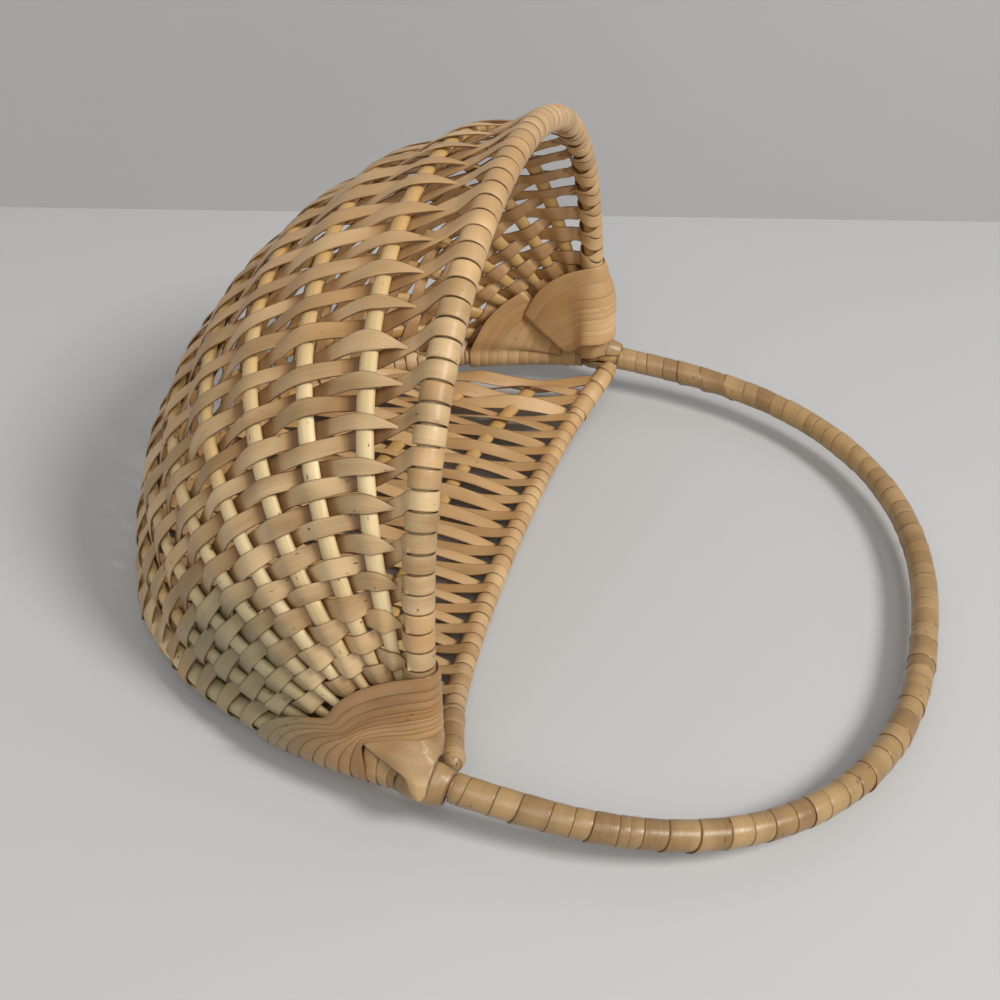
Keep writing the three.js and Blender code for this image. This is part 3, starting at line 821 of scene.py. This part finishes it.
def handle_wrap(side):
    pitches = np.clip(1 + rng.normal(0.0, TURN_SPREAD, HANDLE_TURNS), TURN_LEAST, TURN_MOST)
    shares = np.concatenate(([0.0], np.cumsum(pitches / pitches.sum())))
    edges = lerp(hoop.length_at(WRAP_START), hoop.total / 2, shares)
    turns = np.linspace(-1.0, HANDLE_TURNS, (HANDLE_TURNS + 1) * TURN_SAMPLES + 1)
    angle = 2 * math.pi * turns
    stepped = turns - STEPPED * np.sin(angle - STEP_AT - math.pi) / (2 * math.pi)
    lower, upper = (np.interp(stepped + ahead, np.arange(HANDLE_TURNS + 1), edges) for ahead in (0, 1))
    length, half = (lower + upper) / 2, np.maximum((upper - lower + HANDLE_LAP) / 2, LEAST_HALF)
    radius = WRAP_RADIUS + drift(HANDLE_TURNS + 3, TURN_RISE)(turns + 1)
    path = Path(hoop.around(length, angle, radius), hoop.tangent(length), half, HANDLE_TILT)
    build = Build()
    build.strip(path.on_side(side), rng.random(), side * HANDLE_CUP)
    node = "handle_wrap_" + SIDE_NAMES[side]
    build.finish(node + "_strip", node, WRAP_MATERIAL)


for side in (1, -1):
    handle_wrap(side)


# Ears: strips go round the rim's foot, over the rib ends, round the hoop and back inside, fanned like pleats.
# Each has a crease, at CREASE between the rim and the hoop, and all is made at the +X ear and mirrored

CREASE = 0.68
LASH_RADIUS = WRAP_RADIUS + 0.9
LASH_ARC = (40, -190)
EAR_AT = np.array((RIM_HALF_WIDTH, 0.0, EAR_LIFT))
SMOOTH_PASSES = 3
STOP_SAMPLES = 8


def on_belly(k, reach, lift):
    """Point over the belly, at k, this far from the ear and with this lift."""
    spot = Spot(belly, k, s_at(reach))
    return spot.at + spot.out * lift


def on_rim(angle, reach, radius=LASH_RADIUS):
    """Point round the rim's foot: 0 degrees is past the edge, 90 out of the basket and -90 into it."""
    angle = math.radians(angle)
    spot = Spot(belly, 0.0, s_at(reach))
    return spot.at + (spot.out * math.sin(angle) - spot.down * math.cos(angle)) * radius


def on_hoop(y, angle, radius):
    """Point round the hoop beside the ear: 0 degrees is outward and 90 to the front."""
    return hoop.around(hoop.length_at(y), np.radians(angle), radius)


def through(stops, samples):
    """Rows of numbers in even steps from stop to stop."""
    stops = np.array(stops)
    steps = np.linspace(0.0, len(stops) - 1.0, samples * (len(stops) - 1) + 1)
    return np.stack([np.interp(steps, np.arange(len(stops)), column) for column in stops.T], -1)


def smoothed(line):
    line = np.array(line)
    for _ in range(SMOOTH_PASSES):
        line[1:-1] = (line[:-2] + 2 * line[1:-1] + line[2:]) / 4
    return line


# Pleats: inner ends of the lashing that show under the fold, by their reach at the crease and at the hoop
PLEAT_CREASE = (13.4, 8.6, 5.4)
PLEAT_HOOP = (11.4, 8.8, 6.4)
PLEAT_WIDTH = 0.75
PLEAT_TILT = math.radians(9)
PLEAT_JOIN_SAMPLES = 4


def over_belly(stops):
    """Strip over the ear's part of the belly through stops of k, reach from the ear, lift and half width."""
    k, reach, lift, half = through(stops, STOP_SAMPLES).T
    spot = Spot(belly, k, s_at(reach))
    return Path(spot.at + spot.out * lift[:, None], spot.along, half, -PLEAT_TILT)


def pleat(i):
    """One pleat: down the inside, round the hoop, and up over the rib ends to the crease."""
    crease, at_hoop = PLEAT_CREASE[i], PLEAT_HOOP[i]
    step = max(i - 1, 0)
    half = PLEAT_WIDTH * abs(PLEAT_HOOP[step] - PLEAT_HOOP[step + 1])

    def stop(k, share, lift, half_width):
        return k, lerp(crease, at_hoop, share), lift, half_width

    inside = over_belly((stop(0.45, 0.0, -2.2, 1.8),
                         stop(0.75, 0.75, -2.8, 2.2),
                         stop(0.93, 0.97, -4.4, half)))
    turn = round_hoop(s_at(at_hoop), *LASH_ARC[::-1], LASH_RADIUS, half, -PLEAT_TILT)
    outside = over_belly((stop(0.93, 0.8, 4.5, half),
                          stop(CREASE + 0.03, 0.12, 4.5, 1.1 * half),
                          stop(CREASE - 0.04, 0.0, 4.0, 1.1 * half),
                          (CREASE - 0.2, crease - 0.5, 3.0, half)))
    return joined(inside, turn, outside, samples=PLEAT_JOIN_SAMPLES)


# Bands: strips side by side. Their edges, by share of the band's reach on the belly and by reach on the hoop
BAND_SHARE = (1.0, 0.8, 0.62, 0.47, 0.4, 0.3, 0.23, 0.13, 0.05, -0.08)
BAND_HOOP = (45.5, 42.4, 39.4, 36.4, 32.6, 28.2, 24.6, 20.6, 17.0, 12.4)
BAND_LAP, BAND_HOOP_LAP = 0.03, 0.6
# Stops of an edge, inside the belly and outside: k, reach at the ear, what the far reach lacks, and lift
BAND_INSIDE = ((0.6, 13.0, 6.5, -4.6), (0.35, 10.5, 2.0, -4.7), (0.15, 11.0, 0.5, -4.6))
BAND_OUTSIDE = ((0.15, 12.2, 0.1, 5.1), (0.35, 13.4, 0.4, 4.8), (0.52, 15.2, 0.4, 4.6))
# The same reaches round the rim's foot and at the crease
BAND_RIM, BAND_RIM_ANGLES, BAND_RIM_RADIUS = (12.6, -0.2), (-90, -45, 0, 45, 90), LASH_RADIUS + 0.3
BAND_CREASE = (17.0, 0.6)
# Stops from the crease to the hoop, and back inside: k, share of the way to the hoop, and lift
BAND_TO_HOOP = ((CREASE - 0.04, -0.03, 4.6), (CREASE, 0.0, 4.6), (CREASE + 0.04, 0.1, 4.6), (0.8, 0.42, 4.6),
                (0.92, 0.84, 4.6))
BAND_WITHIN = ((0.92, 0.96, -4.9), (0.75, 0.75, -4.6), (0.6, 0.42, -4.0), (0.45, 0.1, -3.4))
BAND_SAMPLES = 5
# By side: the band's reach and bulge, how far a strip rises over the next, its painted shade lines at the
# edges, tone and painted shade
BAND_FAR = {1: 28.4, -1: 38.0}
BAND_BULGE = {1: 0.0, -1: 4.0}
BAND_RAISE = {1: 0.45, -1: 0.15}
BAND_LINED = {1: 1.0, -1: 0.9}
BAND_TONE, BAND_TONE_STEP = {1: 0.31, -1: 0.62}, 0.008
BAND_SHADE = {1: 0.68, -1: 0.15}
BAND_CROWN = 0.15
BAND_ABOUT = on_belly(0.5, 22.0, 0.0)


def band_edge(share, at_hoop, lift, far, bulge):
    """Edge of an ear strip, share of the way from the ear to the far side of the band.

    It comes from inside the rim, round its foot, over the rib ends, round the hoop and back inside.
    """
    def reach(near, lack):
        return lerp(near, far - lack, share)

    crease = reach(*BAND_CREASE)
    bulge = bulge * ease(2 * (1 - share))
    inner = -lift - bulge / 2
    over = [on_belly(k, reach(near, lack), inner + up) for k, near, lack, up in BAND_INSIDE]
    over += [on_rim(angle, reach(*BAND_RIM), BAND_RIM_RADIUS + lift + bulge) for angle in BAND_RIM_ANGLES]
    over += [on_belly(k, reach(near, lack), lift + up) for k, near, lack, up in BAND_OUTSIDE]
    over += [on_belly(k, lerp(crease, at_hoop, part), lift + up) for k, part, up in BAND_TO_HOOP]
    turn = round_hoop(s_at(at_hoop), *LASH_ARC, LASH_RADIUS + lift, 1.0).centre
    within = [on_belly(k, lerp(crease, at_hoop, part), up - lift) for k, part, up in BAND_WITHIN]
    over, within = (smoothed(through(stops, BAND_SAMPLES)) for stops in (over, within))
    return smoothed(np.concatenate((over, turn, within)))


def band_strip(index, side):
    """Edges of one ear strip; its edge towards the ear laps over the next strip."""
    far, bulge = BAND_FAR[side], BAND_BULGE[side]
    near_edge = band_edge(BAND_SHARE[index + 1], BAND_HOOP[index + 1], BAND_RAISE[side], far, bulge)
    far_edge = band_edge(BAND_SHARE[index] + BAND_LAP, BAND_HOOP[index] + BAND_HOOP_LAP, 0.0, far, bulge)
    return near_edge, far_edge


FOLD_SAMPLES = 7
FOLD_CROWN = 0.7


def fold():
    """Edges of the folded strip: from inside the rim's foot it spreads to the crease and ends on the hoop.

    The near edge runs down the ear's side of it, and the far edge round the crease to the tongue at its end.
    """
    near = (on_belly(0.45, 3.0, -3.0), on_belly(0.2, 2.0, -4.0),
            on_rim(-80, 2.0), on_rim(-30, 3.0), on_rim(15, 3.5), on_rim(50, 2.2),
            on_hoop(4.2, 104, 7.4), on_hoop(4.6, 86, 7.5), on_hoop(4.8, 72, 7.6), on_hoop(4.7, 54, 7.6),
            on_hoop(4.6, 30, 7.6), on_hoop(4.6, 14, 7.6), on_hoop(3.9, 1, 7.5))
    far = (on_belly(0.45, 11.0, -3.0), on_belly(0.2, 13.0, -4.0),
           on_rim(-80, 13.5), on_rim(-30, 13.5), on_rim(15, 13.5), on_rim(60, 13.5),
           on_belly(0.15, 13.5, 4.7), on_belly(0.4, 15.0, 4.4), on_belly(0.67, 17.3, 4.9),
           on_belly(0.74, 9.4, 5.4), on_hoop(-1.0, 36, 7.6), on_hoop(0.3, 13, 7.6), on_hoop(1.9, 1, 7.5))
    return (smoothed(through(stops, FOLD_SAMPLES)) for stops in (near, far))


# Broad turns round the end of the bar: share of its half length, radius, half width and tuck of one edge
BAR_ENDS = ((0.8, 3.4, 3.6, 0.02), (0.865, 3.4, 3.6, 0.02), (0.93, 3.3, 3.4, 0.04), (0.978, 2.85, 2.4, 0.3),
            (0.998, 1.2, 1.3, 1.1))
BAR_END_STEP = 0.005


def bar_end(share, radius, half, tuck):
    """One broad turn round the end of the back bar, its outer edge tucked in by an angle."""
    at = bar_at(share)
    along = unit(bar_at(share + BAR_END_STEP) - at)
    side = unit(np.cross(along, (0.0, 0.0, 1.0)))
    angles = np.linspace(0.0, 2 * math.pi, TURN_SAMPLES + 1)
    radial = side * np.cos(angles)[:, None] + np.cross(side, along) * np.sin(angles)[:, None]
    return Path(at + radial * radius, along, half, tuck)


# Bands of each ear strip; the first strip has the pleats, the fold and the turns on the bar as well
EAR_BANDS = ((8,), (5, 6, 7), (3, 4), (0, 1, 2))
EAR_MATERIAL = {1: NEAR_LASH_MATERIAL, -1: STRIP_MATERIAL}


def ear_strip(side, index):
    mirror = np.array((side, 1, 1))
    build = Build()
    if index == 0:
        for i in range(len(PLEAT_HOOP)):
            build.strip(pleat(i).on_side(side), rng.random())
    for i in EAR_BANDS[index]:
        near, far = band_strip(i, side)
        build.sheet(near * mirror, far * mirror, BAND_ABOUT * mirror, BAND_CROWN,
                    BAND_TONE[side] + BAND_TONE_STEP * i, BAND_LINED[side], BAND_SHADE[side])
    if index == 0:
        near, far = fold()
        build.sheet(near * mirror, far * mirror, EAR_AT * mirror, FOLD_CROWN, rng.random())
        for turn in BAR_ENDS:
            build.strip(bar_end(*turn).on_side(side), rng.random())
    node = f"ear_strip_{SIDE_NAMES[side]}_{index + 1}"
    build.finish(node + "_pleats", node, EAR_MATERIAL[side])


# Binding: its place in Y, its arc, its rise along the hoop for each radian, and how it closes in at its ends
BINDING_AT = 2.0
BINDING_ARC, BINDING_SAMPLES = math.radians(150), 41
BINDING_PITCH = 0.5
BINDING_RADIUS, BINDING_HALF, BINDING_CUP = 6.5, 6.8, 1.5
BINDING_DROP, BINDING_DROP_FROM = 2.2, math.radians(80)
BINDING_TONE = 0.4


def ear_binding(side):
    """Broad turn round the hoop, under the tongue of the folded strip."""
    angle = np.linspace(-BINDING_ARC, BINDING_ARC, BINDING_SAMPLES)
    length = hoop.length_at(BINDING_AT) + angle * BINDING_PITCH
    drop = ease((np.abs(angle) - BINDING_DROP_FROM) / (BINDING_ARC - BINDING_DROP_FROM))
    radius = BINDING_RADIUS - BINDING_DROP * drop
    path = Path(hoop.around(length, angle, radius), hoop.tangent(length), BINDING_HALF)
    build = Build()
    build.strip(path.on_side(side), rng.random() + BINDING_TONE, side * BINDING_CUP)
    node = "ear_binding_" + SIDE_NAMES[side]
    build.finish(node + "_strip", node, WRAP_MATERIAL)


for side in (1, -1):
    for index in range(EAR_STRIPS):
        ear_strip(side, index)
    ear_binding(side)


# Camera, floor, wall and lamps

CAMERA_AT = (372.9, 67.3, 307.0)
CAMERA_YAW, CAMERA_PITCH, CAMERA_ROLL = (math.radians(angle) for angle in (-168.54, -36.35, 5.3))
LENS = 54.0
SENSOR = 36.0
IMAGE = 1000
# Rows of the image where the floor meets the wall, at its left and right edges
WALL_ROWS = (207, 222)
FLOOR_WIDE, FLOOR_DEEP, WALL_TALL = 4.0, 4.0, 3.0
STAGE_GRAIN, STAGE_ROUGHNESS, STAGE_SPECULAR = 6.0, 0.8, 0.2
LAMP_COLOUR = (1.0, 0.97, 0.93)
WORLD_COLOUR, WORLD_LEVEL = (0.95, 0.97, 1.0, 1.0), 0.33

forward = Vector((math.cos(CAMERA_PITCH) * math.cos(CAMERA_YAW),
                  math.cos(CAMERA_PITCH) * math.sin(CAMERA_YAW), math.sin(CAMERA_PITCH)))
level = forward.cross(Vector((0, 0, 1))).normalized()
upright = level.cross(forward)
right = math.cos(CAMERA_ROLL) * level + math.sin(CAMERA_ROLL) * upright
up = -math.sin(CAMERA_ROLL) * level + math.cos(CAMERA_ROLL) * upright

lens = bpy.data.cameras.new("camera")
lens.lens, lens.sensor_width = LENS, SENSOR
camera = add_object("camera", lens)
turned = Matrix((right, up, -forward)).transposed().to_4x4()
camera.matrix_world = Matrix.Translation(place(CAMERA_AT)) @ turned
bpy.context.scene.camera = camera


def floor_point(x, y):
    """Place on the floor that a point of the square image shows."""
    focal = IMAGE * LENS / SENSOR
    ray = forward * focal + right * (x - IMAGE / 2) + up * (IMAGE / 2 - y)
    start = Vector(place(CAMERA_AT))
    return start - ray * (start.z / ray.z)


def plain_material(name, colour, mottle):
    m = Nodes(name)
    where = m.add("ShaderNodeTexCoord").outputs["Object"]
    m.link(m.mix(m.noise(where, detail=3.0, scale=STAGE_GRAIN), colour, mottle), "Base Color")
    m.shader.inputs["Roughness"].default_value = STAGE_ROUGHNESS
    m.shader.inputs["Specular IOR Level"].default_value = STAGE_SPECULAR
    return m.material


def add_stage(name, first, second, across, material):
    """Plain rectangle from an edge between two corners to as far across."""
    mesh = bpy.data.meshes.new(name)
    corners = (first, second, second + across, first + across)
    mesh.from_pydata([tuple(corner) for corner in corners], [], [(0, 1, 2, 3)])
    mesh.materials.append(material)
    add_object(name, mesh)


left_end, right_end = floor_point(0, WALL_ROWS[0]), floor_point(IMAGE, WALL_ROWS[1])
run = (right_end - left_end).normalized()
toward = Vector((-run.y, run.x, 0))
if toward.dot(forward) > 0:
    toward = -toward
middle = (left_end + right_end) / 2
foot = (middle - run * FLOOR_WIDE, middle + run * FLOOR_WIDE)
add_stage("floor", *foot, toward * FLOOR_DEEP,
          plain_material("floor", linear(191, 192, 192), linear(188, 189, 190)))
add_stage("wall", *foot, Vector((0, 0, WALL_TALL)),
          plain_material("wall", linear(174, 174, 174), linear(171, 171, 172)))


def lamp(name, at, aim, size, power):
    light = bpy.data.lights.new(name, "AREA")
    light.shape, light.size, light.energy, light.color = "DISK", size, power, LAMP_COLOUR
    piece = add_object(name, light)
    piece.location = at
    piece.rotation_euler = (Vector(aim) - Vector(at)).to_track_quat("-Z", "Y").to_euler()


lamp("key", at=(0.5, 1.0, 1.25), aim=(0, 0, 0.03), size=0.5, power=20.0)
lamp("fill", at=(1.3, 0.1, 1.25), aim=(0, 0, 0.05), size=1.2, power=10.0)

world = bpy.data.worlds.new("world")
world.use_nodes = True
background = world.node_tree.nodes["Background"]
background.inputs["Color"].default_value = WORLD_COLOUR
background.inputs["Strength"].default_value = WORLD_LEVEL
bpy.context.scene.world = world
bpy.context.scene.view_settings.view_transform = "Standard"
